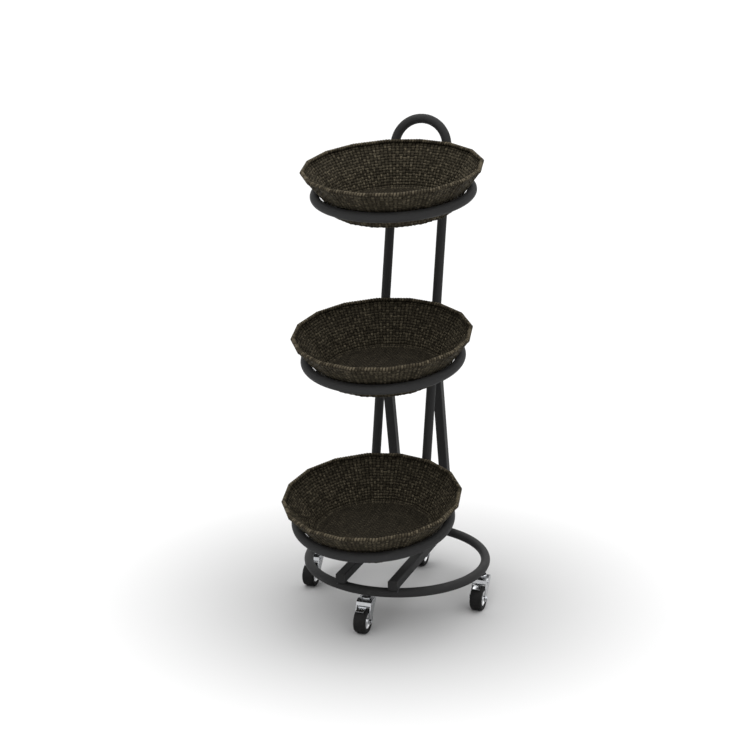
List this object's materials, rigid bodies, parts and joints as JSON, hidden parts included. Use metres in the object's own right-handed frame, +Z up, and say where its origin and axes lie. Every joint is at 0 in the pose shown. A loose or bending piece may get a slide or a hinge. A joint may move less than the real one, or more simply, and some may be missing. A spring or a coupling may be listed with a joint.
{
  "type": "produce display rack",
  "caption": "Mobile three-tier display rack: round woven baskets in forward-tilted tube rings on a leaning hoop frame with a round base ring and braked swivel casters",
  "frame": {"origin": "on the floor, under the middle of the base ring", "axes": "+Z up, baskets towards -Y, handle towards +Y, +X to the right seen from the front"},
  "size_m": [0.5318, 0.6879, 1.2873],
  "materials": {
    "charcoal_paint": "satin charcoal black powder coat",
    "black_plastic": "matte black moulded plastic",
    "brown_weave": "dark brown woven strand",
    "brown_binding": "slightly lighter brown wrapped binding",
    "bright_plating": "bright chrome plating",
    "bearing_steel": "hardened steel balls",
    "grey_hub": "pale grey metal hub",
    "black_tyre": "matte black rubber"
  },
  "bodies": {
    "frame": {"base_ring": "charcoal_paint", "caster_bosses": "charcoal_paint", "floor_bar_left": "charcoal_paint", "floor_bar_right": "charcoal_paint", "bar_end_caps": "black_plastic", "hoop": "charcoal_paint", "rear_leg_left": "charcoal_paint", "rear_leg_right": "charcoal_paint", "display_ring_lower": "charcoal_paint", "display_ring_middle": "charcoal_paint", "display_ring_top": "charcoal_paint", "caster_front_stem": "bright_plating", "caster_front_bearing_cap": "bright_plating", "caster_right_stem": "bright_plating", "caster_right_bearing_cap": "bright_plating", "caster_rear_stem": "bright_plating", "caster_rear_bearing_cap": "bright_plating", "caster_left_stem": "bright_plating", "caster_left_bearing_cap": "bright_plating"},
    "basket_lower": {"basket_lower": "brown_weave", "basket_rim_lower": "brown_binding"},
    "basket_middle": {"basket_middle": "brown_weave", "basket_rim_middle": "brown_binding"},
    "basket_top": {"basket_top": "brown_weave", "basket_rim_top": "brown_binding"},
    "swivel_front": {"caster_front_fork": "bright_plating", "caster_front_balls": "bearing_steel", "caster_front_axle_bolt": "bright_plating", "caster_front_axle_nut": "bright_plating", "caster_front_brake_pin": "bright_plating"},
    "wheel_front": {"caster_front_hub": "grey_hub", "caster_front_tyre": "black_tyre"},
    "brake_front": {"caster_front_brake_lever": "bright_plating"},
    "swivel_right": {"caster_right_fork": "bright_plating", "caster_right_balls": "bearing_steel", "caster_right_axle_bolt": "bright_plating", "caster_right_axle_nut": "bright_plating", "caster_right_brake_pin": "bright_plating"},
    "wheel_right": {"caster_right_hub": "grey_hub", "caster_right_tyre": "black_tyre"},
    "brake_right": {"caster_right_brake_lever": "bright_plating"},
    "swivel_rear": {"caster_rear_fork": "bright_plating", "caster_rear_balls": "bearing_steel", "caster_rear_axle_bolt": "bright_plating", "caster_rear_axle_nut": "bright_plating", "caster_rear_brake_pin": "bright_plating"},
    "wheel_rear": {"caster_rear_hub": "grey_hub", "caster_rear_tyre": "black_tyre"},
    "brake_rear": {"caster_rear_brake_lever": "bright_plating"},
    "swivel_left": {"caster_left_fork": "bright_plating", "caster_left_balls": "bearing_steel", "caster_left_axle_bolt": "bright_plating", "caster_left_axle_nut": "bright_plating", "caster_left_brake_pin": "bright_plating"},
    "wheel_left": {"caster_left_hub": "grey_hub", "caster_left_tyre": "black_tyre"},
    "brake_left": {"caster_left_brake_lever": "bright_plating"}
  },
  "joints": [
    {"name": "basket_lower_lift", "type": "slide", "parent": "frame", "child": "basket_lower", "axis": [0, -0.1633, 0.9866], "range_m": [0, 0.09]},
    {"name": "basket_middle_lift", "type": "slide", "parent": "frame", "child": "basket_middle", "axis": [0, -0.1633, 0.9866], "range_m": [0, 0.09]},
    {"name": "basket_top_lift", "type": "slide", "parent": "frame", "child": "basket_top", "axis": [0, -0.1633, 0.9866], "range_m": [0, 0.09]},
    {"name": "caster_front_swivel", "type": "hinge", "parent": "frame", "child": "swivel_front", "pos_m": [0, -0.241, 0.084], "axis": [0, 0, 1], "continuous": true},
    {"name": "caster_front_roll", "type": "hinge", "parent": "swivel_front", "child": "wheel_front", "pos_m": [0, -0.271, 0.0325], "axis": [1, 0, 0], "continuous": true},
    {"name": "caster_front_brake", "type": "hinge", "parent": "swivel_front", "child": "brake_front", "pos_m": [0, -0.251, 0.0725], "axis": [1, 0, 0], "range_deg": [0, 5]},
    {"name": "caster_right_swivel", "type": "hinge", "parent": "frame", "child": "swivel_right", "pos_m": [0.241, 0, 0.084], "axis": [0, 0, 1], "continuous": true},
    {"name": "caster_right_roll", "type": "hinge", "parent": "swivel_right", "child": "wheel_right", "pos_m": [0.241, -0.03, 0.0325], "axis": [1, 0, 0], "continuous": true},
    {"name": "caster_right_brake", "type": "hinge", "parent": "swivel_right", "child": "brake_right", "pos_m": [0.241, -0.01, 0.0725], "axis": [1, 0, 0], "range_deg": [0, 5]},
    {"name": "caster_rear_swivel", "type": "hinge", "parent": "frame", "child": "swivel_rear", "pos_m": [0, 0.241, 0.084], "axis": [0, 0, 1], "continuous": true},
    {"name": "caster_rear_roll", "type": "hinge", "parent": "swivel_rear", "child": "wheel_rear", "pos_m": [0, 0.211, 0.0325], "axis": [1, 0, 0], "continuous": true},
    {"name": "caster_rear_brake", "type": "hinge", "parent": "swivel_rear", "child": "brake_rear", "pos_m": [0, 0.231, 0.0725], "axis": [1, 0, 0], "range_deg": [0, 5]},
    {"name": "caster_left_swivel", "type": "hinge", "parent": "frame", "child": "swivel_left", "pos_m": [-0.241, 0, 0.084], "axis": [0, 0, 1], "continuous": true},
    {"name": "caster_left_roll", "type": "hinge", "parent": "swivel_left", "child": "wheel_left", "pos_m": [-0.241, -0.03, 0.0325], "axis": [1, 0, 0], "continuous": true},
    {"name": "caster_left_brake", "type": "hinge", "parent": "swivel_left", "child": "brake_left", "pos_m": [-0.241, -0.01, 0.0725], "axis": [1, 0, 0], "range_deg": [0, 5]}
  ]
}
